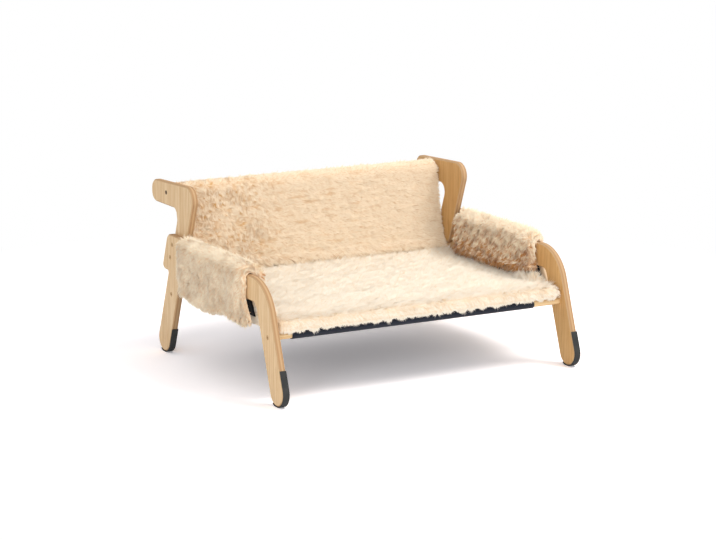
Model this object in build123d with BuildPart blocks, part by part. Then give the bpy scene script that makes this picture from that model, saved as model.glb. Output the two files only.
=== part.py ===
from build123d import *
import math
import os

# Raised cat bed: two plywood side frames and two back posts, bolted to three round rails.
# A canvas sling hangs between the rails and carries a long-pile seat mat and a back pad,
# and a lined plush cover lies over each arm.
# Millimetres. X runs from left to right, Y from front to back, Z up from the floor.

# Overall sizes
overall_width = 600
foot_pitch = 437
hook_overhang = 72.5
leg_width = 48
leg_splay = 19.5

# Side frames
panel = 12
edge_chamfer = 2
arm_rise = 94
arm_height = 43
brow_radius = 75
armpit_radius = 14
head_rise = 16
head_height = 68
head_step = 26
head_length = 52
head_rise_run = 50
head_rise_radius = 45
head_corner_radius = 15
head_heel_radius = 9
heel_notch_radius = 4

# Back posts
post_set_back = 19.6
post_end_rise = 21
hook_rise = 94
hook_tip_drop = 8
hook_height = 40
hook_brow_radius = 25
hook_tip_radius = 18
hook_crook_radius = 17
top_rail_from_tip = 61
top_rail_rise = 23

# Rails
rail_diameter = 12
rail_chamfer = 0.6
seat_rail_height = 113

# Rubber foot strips
strip_thickness = 1.5
strip_reach = 33
strip_heel_rise = 4
foot_flat = 0.4

# Bolts and threaded inserts
bolt_diameter = 4
bolt_head_diameter = 7.2
bolt_head_land = 0.3
head_clearance = 0.05
bolt_socket = 2.9
bolt_socket_depth = 1.7
bolt_hole_clearance = 0.2
head_recess = 0.2
thread_clearance = 0.05
insert_diameter = 7
insert_fit = 0.05
rail_insert_length = 14
post_insert_length = 10
bolt_end_gap = 1.5
post_bolt_offset = 6
post_bolt_drop = 30
post_bolt_pitch = 26

# Canvas sling
canvas = 1.2
soft_gap = 0.3
bare_rail = 44
sling_side_gap = 20
sling_shift = 12
seat_sag = 9
back_sag = 6

# Plush seat mat
mat_gap = 2
mat_thickness = 24
mat_front_reach = 17
mat_crown = 5
mat_rear_gap = 9
mat_side_radius = 9
mat_draw_in = 4

# Plush back pad
pad_thickness = 18
pad_wrap = 11
pad_side_gap = 1.5
pad_turnback = 22
pad_edge_radius = 4

# Arm covers and their linings
plush = 20
lining = 1
cover_brow_gap = 8
cover_rear_gap = 0.6
cover_rear_lean = 20
cover_nose_lean = 20
cover_edge_draw = 9
cover_edge_run = 26
hem_rise = 12
hem_wave = 4
inner_hem_gap = 2
fold_depth = 3
lining_inset = 5

# Shares of the hem's length and wave height, from the front corner to the rear corner
hem_place_shares = (0.14, 0.29, 0.45, 0.6, 0.75, 0.9)
hem_wave_shares = (0.1, 1, 0, -0.9, -0.2, 0.5)
# Shares of the cover's length and fold depth for the outer flap's soft vertical folds
fold_place_shares = (0.07, 0.2, 0.35, 0.5, 0.65, 0.8, 0.93)
fold_depth_shares = (0.1, 0.8, 0, 0.7, 0.2, 0.9, 0.2)

# Places worked out from the sizes above
overall_depth = foot_pitch + leg_width / 2 + strip_thickness + hook_overhang
half_width = overall_width / 2
inner_face = half_width - panel
post_face = inner_face - panel
foot_radius = leg_width / 2
foot_height = foot_radius + strip_thickness - foot_flat
front_foot = -overall_depth / 2 + foot_radius + strip_thickness
rear_foot = front_foot + foot_pitch
hook_tip = overall_depth / 2
rail_radius = rail_diameter / 2
sleeve_inner = rail_radius + soft_gap
sleeve_outer = sleeve_inner + canvas
sleeve_middle = sleeve_inner + canvas / 2
splay_sine = math.sin(math.radians(leg_splay))
splay_cosine = math.cos(math.radians(leg_splay))
splay_slope = splay_sine / splay_cosine
arm_top = seat_rail_height + arm_rise
arm_base = arm_top - arm_height
head_top = arm_top + head_rise
head_base = head_top - head_height
hook_top = head_top + hook_rise
hook_tip_top = hook_top - hook_tip_drop
hook_base = hook_tip_top - hook_height
post_end_height = head_base + post_end_rise
post_bolt_height = head_top - post_bolt_drop
hem_height = seat_rail_height + hem_rise
sleeve_half = inner_face - bare_rail
sling_half = post_face - sling_side_gap
FRONT = -1
REAR = 1


def on_leg(side, across, height):
    """Point (y, z) at a height on a line parallel to a leg, set outwards from its centre line."""
    foot = front_foot if side == FRONT else rear_foot
    rise = height - foot_height
    return (foot + side * (across / splay_cosine - rise * splay_slope), height)


def leg_end(side, across):
    """Point (y, z) on the diameter that closes a leg's straight run, at the foot's centre."""
    foot = front_foot if side == FRONT else rear_foot
    return (foot + side * across * splay_cosine, foot_height + across * splay_sine)


front_rail_at = on_leg(FRONT, 0, seat_rail_height)
rear_rail_at = on_leg(REAR, 0, seat_rail_height)
top_rail_at = (hook_tip - top_rail_from_tip, hook_base + top_rail_rise)


def post_bolt_places():
    """The two bolts of a head block, on a line parallel to the post."""
    half_rise = post_bolt_pitch * splay_cosine / 2
    across = post_set_back + post_bolt_offset
    return [on_leg(REAR, across, post_bolt_height - half_rise),
            on_leg(REAR, across, post_bolt_height + half_rise)]


def draw_frame():
    """Outline of a side frame: two splayed legs, the arm and the head block."""
    head_back = foot_radius + head_step
    head_corner = on_leg(REAR, head_back, head_top)
    rounded = [
        (on_leg(FRONT, foot_radius, arm_top), brow_radius),
        ((head_corner[0] - head_length - head_rise_run, arm_top), head_rise_radius),
        ((head_corner[0] - head_length, head_top), head_rise_radius),
        (head_corner, head_corner_radius),
        (on_leg(REAR, head_back, head_base), head_heel_radius),
        (on_leg(REAR, foot_radius, head_base), heel_notch_radius),
        (on_leg(REAR, -foot_radius, arm_base), armpit_radius),
        (on_leg(FRONT, -foot_radius, arm_base), armpit_radius),
    ]
    corners = [corner for corner, radius in rounded]
    rear_end = [leg_end(REAR, foot_radius), leg_end(REAR, -foot_radius)]
    front_end = [leg_end(FRONT, -foot_radius), leg_end(FRONT, foot_radius)]
    with BuildLine() as outline:
        Polyline(*corners[:6], *rear_end, *corners[6:], *front_end, close=True)
    make_face(outline.edges())
    for corner, radius in rounded:
        fillet(vertices().sort_by_distance(corner)[0], radius)
    with Locations((front_foot, foot_height), (rear_foot, foot_height)):
        Circle(foot_radius)


def draw_post():
    """Outline of a back post: a round lower end, a straight spine and a hook that points back."""
    front_line = post_set_back - foot_radius
    rear_line = post_set_back + foot_radius
    end = on_leg(REAR, post_set_back, post_end_height)
    half_run = foot_radius * splay_cosine
    half_rise = foot_radius * splay_sine
    rounded = [
        (on_leg(REAR, front_line, hook_top), hook_brow_radius),
        ((hook_tip, hook_tip_top), hook_tip_radius),
        ((hook_tip, hook_base), hook_tip_radius),
        (on_leg(REAR, rear_line, hook_base), hook_crook_radius),
    ]
    corners = [corner for corner, radius in rounded]
    lower_end = [(end[0] + half_run, end[1] + half_rise), (end[0] - half_run, end[1] - half_rise)]
    with BuildLine() as outline:
        Polyline(*corners, *lower_end, close=True)
    make_face(outline.edges())
    for corner, radius in rounded:
        fillet(vertices().sort_by_distance(corner)[0], radius)
    with Locations(end):
        Circle(foot_radius)


def outward(x, place):
    """Plane at a place (y, z) whose normal points away from the middle of the bed."""
    return Plane(origin=(x, *place), z_dir=(math.copysign(1, x), 0, 0))


def face_edges(part, x):
    """Every edge of a panel's face in the plane of that x."""
    return part.edges().filter_by_position(Axis.X, x, x)


# Side frames: one plywood panel each, with eased edges and countersunk bolt holes
sink_radius = bolt_head_diameter / 2 + head_recess + bolt_head_land + head_clearance
with BuildPart() as side_frame_left:
    with BuildSketch(Plane.YZ.offset(-half_width)):
        draw_frame()
    extrude(amount=panel)
    chamfer(face_edges(side_frame_left, -half_width) + face_edges(side_frame_left, -inner_face), edge_chamfer)
    with Locations(*[outward(-half_width, at) for at in [front_rail_at, rear_rail_at, *post_bolt_places()]]):
        CounterSinkHole(
            radius=bolt_diameter / 2 + bolt_hole_clearance,
            counter_sink_radius=sink_radius,
            counter_sink_angle=90,
        )

with BuildPart() as side_frame_right:
    mirror(side_frame_left.part, about=Plane.YZ)

# Back posts: against the inner face of the head blocks
with BuildPart() as back_post_left:
    with BuildSketch(Plane.YZ.offset(-inner_face)):
        draw_post()
    extrude(amount=panel)
    chamfer(face_edges(back_post_left, -inner_face) + face_edges(back_post_left, -post_face), edge_chamfer)
    with Locations(outward(-inner_face, top_rail_at)):
        CounterSinkHole(
            radius=bolt_diameter / 2 + bolt_hole_clearance,
            counter_sink_radius=sink_radius,
            counter_sink_angle=90,
        )
    with Locations(*[outward(-inner_face, at) for at in post_bolt_places()]):
        Hole(radius=insert_diameter / 2 + insert_fit, depth=post_insert_length + bolt_end_gap / 2)

with BuildPart() as back_post_right:
    mirror(back_post_left.part, about=Plane.YZ)


def make_rail(place, half_length):
    """Round rail between two panels, with a socket for a threaded insert in each end."""
    with BuildPart() as rail:
        with BuildSketch(Plane.YZ.offset(-half_length)):
            with Locations(place):
                Circle(rail_radius)
        extrude(amount=2 * half_length)
        chamfer(rail.edges().filter_by(GeomType.CIRCLE), rail_chamfer)
        with Locations(outward(-half_length, place), outward(half_length, place)):
            Hole(radius=insert_diameter / 2 + insert_fit, depth=rail_insert_length + bolt_end_gap)
    return rail.part


front_seat_rail = make_rail(front_rail_at, inner_face)
rear_seat_rail = make_rail(rear_rail_at, inner_face)
top_back_rail = make_rail(top_rail_at, post_face)


def make_bolt(length):
    """Flat-head bolt with a hexagon socket: the top of its head is at the origin."""
    head_radius = bolt_head_diameter / 2
    shank_radius = bolt_diameter / 2
    cone_end = bolt_head_land + head_radius - shank_radius
    with BuildPart() as bolt:
        with BuildSketch(Plane.XZ):
            with BuildLine():
                Polyline(
                    (0, 0),
                    (head_radius, 0),
                    (head_radius, -bolt_head_land),
                    (shank_radius, -cone_end),
                    (shank_radius, -length),
                    (0, -length),
                    close=True,
                )
            make_face()
        revolve(axis=Axis.Z)
        with BuildSketch(Plane.XY):
            RegularPolygon(bolt_socket / 2, 6, major_radius=False)
        extrude(amount=-bolt_socket_depth, mode=Mode.SUBTRACT)
    return bolt.part


def make_insert(length):
    """Threaded insert, plain bored: its mouth is at the origin."""
    with BuildPart() as insert:
        with BuildSketch(Plane.XY):
            Circle(insert_diameter / 2)
            Circle(bolt_diameter / 2 + thread_clearance, mode=Mode.SUBTRACT)
        extrude(amount=-length)
    return insert.part


rail_bolt = make_bolt(panel - head_recess + rail_insert_length - bolt_end_gap)
post_bolt = make_bolt(panel - head_recess + post_insert_length - bolt_end_gap)
rail_insert = make_insert(rail_insert_length)
post_insert = make_insert(post_insert_length)
head_inset = half_width - head_recess
hook_inset = inner_face - head_recess

# Bolts and inserts: each group holds the identical fasteners of one side
with BuildPart() as rail_bolts_left:
    with Locations(outward(-head_inset, front_rail_at), outward(-head_inset, rear_rail_at),
                   outward(-hook_inset, top_rail_at)):
        add(rail_bolt)

with BuildPart() as rail_bolts_right:
    mirror(rail_bolts_left.part, about=Plane.YZ)

with BuildPart() as post_bolts_left:
    with Locations(*[outward(-head_inset, at) for at in post_bolt_places()]):
        add(post_bolt)

with BuildPart() as post_bolts_right:
    mirror(post_bolts_left.part, about=Plane.YZ)

with BuildPart() as rail_inserts_left:
    with Locations(outward(-inner_face, front_rail_at), outward(-inner_face, rear_rail_at),
                   outward(-post_face, top_rail_at)):
        add(rail_insert)

with BuildPart() as rail_inserts_right:
    mirror(rail_inserts_left.part, about=Plane.YZ)

with BuildPart() as post_inserts_left:
    with Locations(*[outward(-inner_face, at) for at in post_bolt_places()]):
        add(post_insert)

with BuildPart() as post_inserts_right:
    mirror(post_inserts_left.part, about=Plane.YZ)


def make_strip(side, x):
    """Rubber strip down the front of one foot and round under it, flat where it meets the floor."""
    foot = front_foot if side == FRONT else rear_foot
    tilt = Location((foot, foot_height, 0), (0, 0, side * leg_splay))
    outer = foot_radius + strip_thickness
    with BuildPart() as strip:
        with BuildSketch(Plane.YZ.offset(x)):
            with Locations(tilt):
                Circle(outer)
                Rectangle(2 * outer, strip_reach, align=(Align.CENTER, Align.MIN))
                Circle(foot_radius, mode=Mode.SUBTRACT)
                Rectangle(2 * foot_radius, strip_reach, align=(Align.CENTER, Align.MIN), mode=Mode.SUBTRACT)
            with Locations((foot, strip_heel_rise)):
                Rectangle(2 * outer, strip_reach + 2 * outer, align=(Align.MIN, Align.MIN), mode=Mode.SUBTRACT)
        extrude(amount=panel)
        split(bisect_by=Plane.XY, keep=Keep.TOP)
    return strip.part


foot_strip_front_left = make_strip(FRONT, -half_width)
foot_strip_front_right = make_strip(FRONT, inner_face)
foot_strip_rear_left = make_strip(REAR, -half_width)
foot_strip_rear_right = make_strip(REAR, inner_face)

# Directions of the seat and the back between the rails' axes, as (y, z)
back_run = top_rail_at[0] - rear_rail_at[0]
back_rise = top_rail_at[1] - rear_rail_at[1]
back_length = math.hypot(back_run, back_rise)


def on_back(along, ahead):
    """Point (y, z) up the back from the rear rail's axis, set ahead towards the front."""
    y = rear_rail_at[0] + (along * back_run - ahead * back_rise) / back_length
    z = rear_rail_at[1] + (along * back_rise + ahead * back_run) / back_length
    return (y, z)


def on_seat(above, rear=0):
    """Points (y, z) of the seat's front, middle and rear at a height above the rails' axes."""
    front_y, z = front_rail_at
    rear_y = rear_rail_at[0] - rear
    return [(front_y, z + above), ((front_y + rear_y) / 2, z + above - seat_sag), (rear_y, z + above)]


# Canvas sling: a sleeve on each rail, with the seat and the back stretched between them
with BuildPart() as canvas_sling:
    with BuildSketch(Plane.YZ.offset(-sleeve_half - sling_shift)):
        with Locations(front_rail_at, rear_rail_at, top_rail_at):
            Circle(sleeve_outer)
    extrude(amount=2 * sleeve_half)
    with BuildSketch(Plane.YZ.offset(-sling_half - sling_shift)):
        with BuildLine():
            ThreePointArc(*on_seat(sleeve_middle))
        trace(line_width=canvas)
        with BuildLine():
            ThreePointArc(
                on_back(0, sleeve_middle),
                on_back(back_length / 2, sleeve_middle - back_sag),
                on_back(back_length, sleeve_middle),
            )
        trace(line_width=canvas)
    extrude(amount=2 * sling_half)
    with BuildSketch(Plane.YZ.offset(-half_width)):
        with Locations(front_rail_at, rear_rail_at, top_rail_at):
            Circle(sleeve_inner)
    extrude(amount=overall_width, mode=Mode.SUBTRACT)

# Seat mat: follows the sling, with a rounded nose over the front rail
mat_half = inner_face - mat_gap
mat_under = sleeve_outer + soft_gap
with BuildPart() as seat_mat:
    front_under, middle_under, rear_under = on_seat(mat_under, mat_rear_gap)
    front_over, middle_over, rear_over = on_seat(mat_under + mat_thickness, mat_rear_gap)
    nose_start = (front_under[0] - mat_front_reach + mat_thickness / 2, front_under[1])
    nose_tip = (front_under[0] - mat_front_reach, front_under[1] + mat_thickness / 2)
    nose_end = (nose_start[0], front_over[1])
    with BuildSketch(Plane.YZ.offset(-mat_half)):
        with BuildLine():
            Line(nose_start, front_under)
            ThreePointArc(front_under, middle_under, rear_under)
            Line(rear_under, rear_over)
            ThreePointArc(rear_over, (middle_over[0], middle_over[1] + mat_crown), nose_end)
            ThreePointArc(nose_end, nose_tip, nose_start)
        make_face()
    extrude(amount=2 * mat_half)
    side_edges = face_edges(seat_mat, -mat_half) + face_edges(seat_mat, mat_half)
    top = (middle_over[0], middle_over[1] + mat_crown)
    top_edges = [side_edges.sort_by_distance((x, *top))[0] for x in (-mat_half, mat_half)]
    fillet(top_edges, mat_side_radius)
    mat_front = nose_tip[0] - mat_side_radius
    mat_rear = rear_under[0] + mat_side_radius
    with BuildSketch(Plane.XY.offset(middle_under[1])):
        with BuildLine():
            Line((-mat_half, mat_front), (mat_half, mat_front))
            ThreePointArc((mat_half, mat_front), (mat_half - mat_draw_in, (mat_front + mat_rear) / 2),
                          (mat_half, mat_rear))
            Line((mat_half, mat_rear), (-mat_half, mat_rear))
            ThreePointArc((-mat_half, mat_rear), (-mat_half + mat_draw_in, (mat_front + mat_rear) / 2),
                          (-mat_half, mat_front))
        make_face()
    extrude(amount=mat_thickness + seat_sag + mat_crown, mode=Mode.INTERSECT)

# Back pad: hangs over the top rail between the posts, thick in front and thinner where it wraps
pad_half = post_face - pad_side_gap
pad_inside = sleeve_outer + soft_gap
pad_front = pad_inside + pad_thickness
pad_wrapped = pad_inside + pad_wrap
pad_bottom = mat_under + mat_thickness + soft_gap
pad_start = (pad_bottom * back_length - pad_inside * back_run) / back_rise
pad_middle = (pad_start + back_length) / 2
pad_end = back_length - pad_turnback


def back_dip(along):
    """How far the stretched back gives between its two rails."""
    share = along / back_length
    return 4 * back_sag * share * (1 - share)


def on_wrap(ahead, turn):
    """Point (y, z) on the pad's round over the top rail, turned from its crown towards the front."""
    return on_back(back_length + pad_wrapped * math.cos(turn), ahead + pad_wrapped * math.sin(turn))


with BuildPart() as back_pad:
    with BuildSketch(Plane.YZ.offset(-pad_half)):
        quarter = math.pi / 2
        brow_ahead = pad_front - pad_wrapped
        with BuildLine() as outline:
            ThreePointArc(
                on_back(pad_start, pad_inside - back_dip(pad_start)),
                on_back(pad_middle, pad_inside - back_dip(pad_middle)),
                on_back(back_length, pad_inside),
            )
            ThreePointArc(
                on_back(back_length, pad_inside),
                on_back(back_length + pad_inside, 0),
                on_back(back_length, -pad_inside),
            )
            Polyline(
                on_back(back_length, -pad_inside),
                on_back(pad_end, -pad_inside),
                on_back(pad_end, -pad_wrapped),
                on_back(back_length, -pad_wrapped),
            )
            ThreePointArc(*[on_wrap(0, -turn) for turn in (quarter, quarter / 2, 0)])
            Line(on_wrap(0, 0), on_wrap(brow_ahead, 0))
            ThreePointArc(*[on_wrap(brow_ahead, turn) for turn in (0, quarter / 2, quarter)])
            ThreePointArc(
                on_back(back_length, pad_front),
                on_back(pad_middle, pad_front - back_dip(pad_middle)),
                on_back(pad_start, pad_front - back_dip(pad_start)),
            )
            Line(
                on_back(pad_start, pad_front - back_dip(pad_start)),
                on_back(pad_start, pad_inside - back_dip(pad_start)),
            )
        make_face()
        hems = [
            on_back(pad_start, pad_front - back_dip(pad_start)),
            on_back(pad_start, pad_inside - back_dip(pad_start)),
            on_back(pad_end, -pad_inside),
            on_back(pad_end, -pad_wrapped),
        ]
        fillet([vertices().sort_by_distance(corner)[0] for corner in hems], pad_edge_radius)
    extrude(amount=2 * pad_half)

# Arm covers: a lined band of plush over each arm, with a long outer flap and a short inner one
arm_centre = half_width - panel / 2
lining_inside = panel / 2 + soft_gap
lining_outside = lining_inside + lining
cover_inside = lining_outside + soft_gap
cover_outside = cover_inside + plush
cover_top = arm_top + soft_gap + lining + soft_gap + plush
arch_centre = cover_top - cover_outside
inner_hem = seat_rail_height + mat_under + mat_thickness + inner_hem_gap
brow_run = brow_radius * math.tan(math.radians(90 - leg_splay) / 2)
front_edge = on_leg(FRONT, foot_radius, arm_top)[0] + brow_run + cover_brow_gap
rear_edge = on_leg(REAR, post_set_back - foot_radius, cover_top)[0] - cover_rear_gap
hem_front = front_edge - cover_nose_lean
hem_rear = rear_edge - cover_rear_lean


def draw_cover(inset):
    """Side view of an arm cover: plumb at the top, leaning edges and a wavy hem below."""
    front = front_edge + inset
    rear = rear_edge - inset
    hem_start = (hem_front + inset, hem_height + hem_wave)
    hem_end = (hem_rear - inset, hem_height + hem_wave)
    hem = [
        (hem_start[0] + place * (hem_end[0] - hem_start[0]), hem_height + share * hem_wave + inset)
        for place, share in zip(hem_place_shares, hem_wave_shares)
    ]
    with BuildLine() as outline:
        Spline(hem_start, *hem, hem_end)
        Polyline(hem_end, (rear, arm_base), (rear, head_top + plush), (front, head_top + plush),
                 (front, arm_base), hem_start)
    make_face(outline.edges())


def draw_arm(gap):
    """Side view of an arm grown by a gap, and of the space between two flaps below it."""
    draw_frame()
    offset(amount=gap)
    with Locations((0, arm_top - edge_chamfer)):
        Rectangle(overall_depth, arm_top - edge_chamfer, align=(Align.CENTER, Align.MAX))


with BuildPart() as arm_cover_left:
    with BuildSketch(Plane.XZ.offset(-rear_edge)):
        with Locations((-arm_centre, arch_centre)):
            Circle(cover_outside)
            Rectangle(cover_outside, arch_centre - inner_hem, align=(Align.MIN, Align.MAX))
            Rectangle(cover_outside, arch_centre, align=(Align.MAX, Align.MAX))
    extrude(amount=rear_edge - hem_front)
    with BuildSketch(Plane.YZ.offset(-arm_centre - cover_outside)):
        draw_cover(0)
    extrude(amount=2 * cover_outside, mode=Mode.INTERSECT)
    ridge = -arm_centre - cover_outside
    fold_start = front_edge + cover_edge_run
    fold_end = rear_edge - cover_edge_run
    fold = [
        (ridge + share * fold_depth, fold_start + place * (fold_end - fold_start))
        for place, share in zip(fold_place_shares, fold_depth_shares)
    ]
    drawn = ridge + cover_edge_draw
    with BuildSketch(Plane.XY):
        with BuildLine():
            Spline((drawn, front_edge), *fold, (drawn, rear_edge))
            Polyline(
                (drawn, rear_edge),
                (drawn, rear_edge + plush),
                (ridge - plush, rear_edge + plush),
                (ridge - plush, hem_front - plush),
                (drawn, hem_front - plush),
                (drawn, front_edge),
            )
        make_face()
    extrude(amount=cover_top, mode=Mode.SUBTRACT)
    with BuildSketch(Plane.YZ.offset(-arm_centre - cover_inside)):
        draw_arm(soft_gap + lining + soft_gap)
    extrude(amount=2 * cover_inside, mode=Mode.SUBTRACT)

with BuildPart() as arm_cover_right:
    mirror(arm_cover_left.part, about=Plane.YZ)

with BuildPart() as arm_lining_left:
    with BuildSketch(Plane.YZ.offset(-arm_centre - lining_outside)):
        draw_arm(soft_gap + lining)
    extrude(amount=2 * lining_outside)
    with BuildSketch(Plane.YZ.offset(-arm_centre - lining_outside)):
        draw_cover(lining_inset)
    extrude(amount=2 * lining_outside, mode=Mode.INTERSECT)
    with BuildSketch(Plane.YZ.offset(-arm_centre)):
        with Locations((0, inner_hem)):
            Rectangle(overall_depth, inner_hem, align=(Align.CENTER, Align.MAX))
    extrude(amount=lining_outside, mode=Mode.SUBTRACT)
    with BuildSketch(Plane.YZ.offset(-arm_centre - lining_inside)):
        draw_arm(soft_gap)
    extrude(amount=2 * lining_inside, mode=Mode.SUBTRACT)

with BuildPart() as arm_lining_right:
    mirror(arm_lining_left.part, about=Plane.YZ)

nodes = {
    "side_frame_left": side_frame_left.part,
    "side_frame_right": side_frame_right.part,
    "back_post_left": back_post_left.part,
    "back_post_right": back_post_right.part,
    "front_seat_rail": front_seat_rail,
    "rear_seat_rail": rear_seat_rail,
    "top_back_rail": top_back_rail,
    "rail_bolts_left": rail_bolts_left.part,
    "rail_bolts_right": rail_bolts_right.part,
    "post_bolts_left": post_bolts_left.part,
    "post_bolts_right": post_bolts_right.part,
    "rail_inserts_left": rail_inserts_left.part,
    "rail_inserts_right": rail_inserts_right.part,
    "post_inserts_left": post_inserts_left.part,
    "post_inserts_right": post_inserts_right.part,
    "foot_strip_front_left": foot_strip_front_left,
    "foot_strip_front_right": foot_strip_front_right,
    "foot_strip_rear_left": foot_strip_rear_left,
    "foot_strip_rear_right": foot_strip_rear_right,
    "canvas_sling": canvas_sling.part,
    "seat_mat": seat_mat.part,
    "back_pad": back_pad.part,
    "arm_cover_left": arm_cover_left.part,
    "arm_cover_right": arm_cover_right.part,
    "arm_lining_left": arm_lining_left.part,
    "arm_lining_right": arm_lining_right.part,
}

os.makedirs("parts", exist_ok=True)
for name, part in nodes.items():
    part.label = name
    export_step(part, f"parts/{name}.step")
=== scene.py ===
import math

import bpy
import numpy as np
from mathutils import Matrix, Vector
from mathutils.kdtree import KDTree


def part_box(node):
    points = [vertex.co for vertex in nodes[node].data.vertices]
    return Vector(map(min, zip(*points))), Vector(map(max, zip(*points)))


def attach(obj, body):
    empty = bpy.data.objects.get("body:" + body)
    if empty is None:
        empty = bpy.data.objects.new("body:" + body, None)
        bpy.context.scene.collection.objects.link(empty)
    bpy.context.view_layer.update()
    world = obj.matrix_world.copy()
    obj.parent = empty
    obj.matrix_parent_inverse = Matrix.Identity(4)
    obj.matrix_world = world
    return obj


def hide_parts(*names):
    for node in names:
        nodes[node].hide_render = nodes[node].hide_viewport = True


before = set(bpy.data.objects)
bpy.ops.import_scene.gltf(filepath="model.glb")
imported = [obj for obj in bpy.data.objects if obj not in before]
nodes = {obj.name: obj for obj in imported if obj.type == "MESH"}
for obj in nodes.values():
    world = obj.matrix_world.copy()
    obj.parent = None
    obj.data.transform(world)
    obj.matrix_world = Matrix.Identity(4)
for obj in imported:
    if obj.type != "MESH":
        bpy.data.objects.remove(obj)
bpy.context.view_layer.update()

MM = 0.001
BLACK = (0, 0, 0, 1)
WHITE = (1, 1, 1, 1)

# Sizes of the solids that their boxes don't give
CANVAS = 1.2 * MM
LINING = 1.0 * MM
SLEEVE_GAP = 0.3 * MM
SLEEVE_STEP = 12 * MM
SEAT_SAG = 9 * MM
BACK_SAG = 6 * MM
UNDERARM = 51 * MM
ARM_RISE = 94 * MM
NOSE_LEAN = 20 * MM
REAR_LEAN = 20 * MM
POST_LEAN = math.radians(19.5)

# Wood and metal: a pair of plies, and the height above which the bolts are darker
PLY_PAIR = 6 * MM
HOOK_AT = 270 * MM

# Canvas: the shares of the way between two rails that each panel takes up, its ripple, and its thread
SEAT_SHARES = (0.0147, 0.9853)
BACK_SHARES = (0.034, 0.966)
RIPPLE = 0.25 * MM
CLOTH_STEP = 6 * MM
SLEEVE_TURN = 315
STITCH = 3.4 * MM
STITCH_PITCH = 5.0 * MM
STITCH_INSET = 6 * MM
STITCH_SIDES = 6
STITCH_PROFILE = [(-0.5, 0.25), (-0.38, 0.8), (0.0, 1.0), (0.38, 0.8), (0.5, 0.25)]
THREAD = 0.7 * MM

# Linings: how far their ends and hems stay inside the cover's, and the round of their top edges
LINING_INSET = 16 * MM
LINING_ROUND = 2.2 * MM
OUTER_HEM_GAP = 1 * MM
INNER_HEM_GAP = 7 * MM
RAISED_HEM_DROP = 6 * MM
LINING_STEP = 0.03

# Covers: the rounding of their front ends, and what the right one is drawn back and raised by
NOSE_ROUND = 7 * MM
PULLED_BACK = 16 * MM
HEM_LIFT = 13 * MM

# Pile: how many strands each piece has, and their width
SEAT_STRANDS = 92000
FRINGE_STRANDS = 11000
BACK_STRANDS = 80000
ARM_STRANDS = 40000
SEAT_WIDTH = 1.1 * MM
PLUSH_WIDTH = 1.0 * MM

# A strand: where along it its rings of three points lie, and the height of its ridge by its half width
RINGS = (0.0, 0.5)
ROWS = 3 * len(RINGS) + 1
RIDGE = 0.5

# Its shading: what the skin under it and its own sides add to the normals
SKIN_SHARE = 1.0
SIDE_SHARE = 0.5

# Its disorder: the length of a sway, the share of strays, and the spread of tones
SWAY = 18 * MM
STRAYS = 0.07
OWN_TONE = 0.1
FIELD_WAVES = 14
TILE_CELL = 9 * MM

# Where the back's canvas is kept free of strands: below the sleeve's end, and how deep a strand may lie
SLEEVE_END = 12 * MM
BEHIND = 12 * MM

# Camera, solved from the photograph's outlines of the two side frames
IMAGE = (716, 540)
CAMERA_AT = (-2.1218, -3.6928, 1.0775)
CAMERA_YAW = 29.8205
CAMERA_PITCH = 12.1778
CAMERA_ROLL = 0.341
FOCAL_PIXELS = 2413
SENSOR = 36.0

# Floor, background and lamps: name, place, aim, size, watts and colour
FLOOR_SIZE = 30.0
FLOOR_BOUNCE = (0.85, 0.84, 0.85, 1)
FLOOR_TONE = (1.38, 1.315, 1.325, 1)
FLOOR_GLOW = 0.08
FLOOR_FADE = (0.6, 1.2)
WORLD_TONE = (0.98, 0.99, 1.0, 1)
WORLD_LIGHT = 0.69
LAMPS = [
    ("key", (1.1, -0.8, 2.2), (0, 0, 0.1), (1.1, 1.1), 35, (1.0, 0.985, 0.96)),
    ("fill", (-2.2, -2.4, 1.2), (0, 0, 0.15), (1.8, 1.4), 32, (0.98, 0.99, 1.0)),
    ("front", (0.3, -3.2, 0.9), (0, 0, 0.15), (2.4, 1.4), 7, (1.0, 0.99, 0.98)),
]


def middle(node):
    """Centre of a node's box."""
    low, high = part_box(node)
    return (low + high) / 2


front_rail = middle("front_seat_rail")
rear_rail = middle("rear_seat_rail")
top_rail = middle("top_back_rail")
rail_radius = (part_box("front_seat_rail")[1].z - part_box("front_seat_rail")[0].z) / 2
sleeve_radius = rail_radius + SLEEVE_GAP + CANVAS / 2
canvas_face = sleeve_radius + CANVAS
frame_low, frame_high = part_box("side_frame_left")
panel = frame_high.x - frame_low.x
inner_face = -frame_high.x
arm_x = abs(frame_low.x + frame_high.x) / 2
arm_base = front_rail.z + UNDERARM
arm_top = front_rail.z + ARM_RISE
back_line = Vector((0, top_rail.y - rear_rail.y, top_rail.z - rear_rail.z))
back_length = back_line.length
up_back = back_line / back_length
ahead_back = Vector((0, -up_back.z, up_back.y))


# Numbers and meshes
def rng(seed):
    return np.random.default_rng(seed)


def field(points, wavelength, seed):
    """Smooth random field about -1 to 1 over an array of points: a sum of seeded plane waves."""
    r = rng(seed)
    directions = r.normal(size=(FIELD_WAVES, 3))
    directions /= np.linalg.norm(directions, axis=1)[:, None]
    rates = 2 * math.pi / (wavelength * r.uniform(0.7, 1.5, FIELD_WAVES))
    phases = r.uniform(0, 2 * math.pi, FIELD_WAVES)
    total = np.zeros(len(points))
    for direction, rate, phase in zip(directions, rates, phases):
        total += np.sin(points @ direction * rate + phase)
    return total * math.sqrt(2 / FIELD_WAVES) * 0.6


def drifting(points, size, seed, wander):
    """Slow random drift of a flow's direction."""
    return np.stack([field(points, size, seed + k) for k in range(3)], 1) * wander


def smooth(values, low, high):
    """Smooth step from 0 at low to 1 at high."""
    share = np.clip((values - low) / (high - low), 0, 1)
    return share * share * (3 - 2 * share)


def near(values, edge, far, close):
    """Smooth step that starts at far before an edge and is 1 at close before it."""
    return smooth(values, edge - far, edge - close)


def unit(vectors):
    return vectors / np.maximum(np.linalg.norm(vectors, axis=-1, keepdims=True), 1e-9)


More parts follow.
